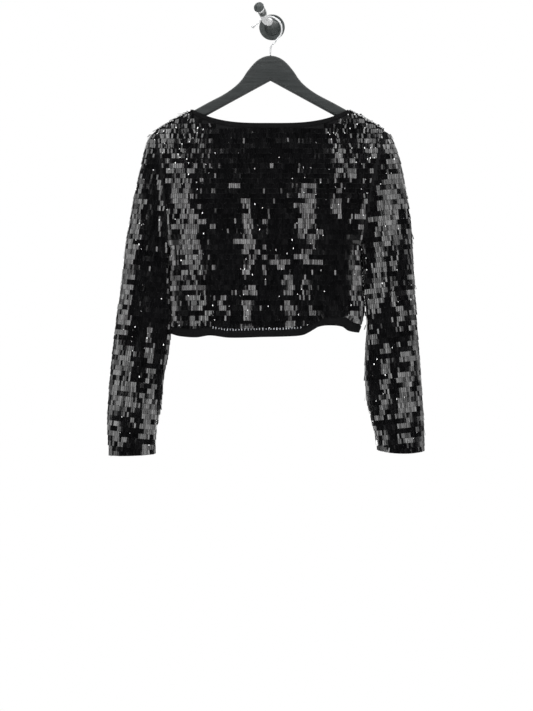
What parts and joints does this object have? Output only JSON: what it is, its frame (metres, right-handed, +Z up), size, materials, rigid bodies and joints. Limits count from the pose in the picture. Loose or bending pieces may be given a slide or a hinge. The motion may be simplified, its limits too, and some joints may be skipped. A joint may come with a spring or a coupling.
{
  "type": "long-sleeved cropped blouse on a hanger and wall hook",
  "caption": "Cropped boat-neck blouse with long sleeves, covered in upright sequins, hung on a flat hanger from a wall hook.",
  "frame": {"origin": "centre of the wall plate's back face, where the wall holds the part", "axes": "+Z up, +X to the right of someone looking at the front, +Y into the wall"},
  "size_m": [0.578, 0.0948, 0.821],
  "materials": {
    "sequin_cloth": "black cloth covered in glossy upright sequins",
    "edge_cloth": "plain black knit, matt",
    "hanger_wood": "black painted wood, satin",
    "bright_steel": "polished",
    "dark_steel": "dark polished steel"
  },
  "bodies": {
    "root": {"front": "sequin_cloth", "back": "sequin_cloth", "sleeve_right_front": "sequin_cloth", "sleeve_right_back": "sequin_cloth", "sleeve_left_front": "sequin_cloth", "sleeve_left_back": "sequin_cloth", "neck_band_front": "edge_cloth", "neck_band_back": "edge_cloth", "hem_band_front": "edge_cloth", "hem_band_back": "edge_cloth", "hanger": "hanger_wood", "hanger_hook": "bright_steel", "hook_rod": "bright_steel", "wall_plate": "dark_steel", "hook_cap": "dark_steel"}
  },
  "joints": []
}
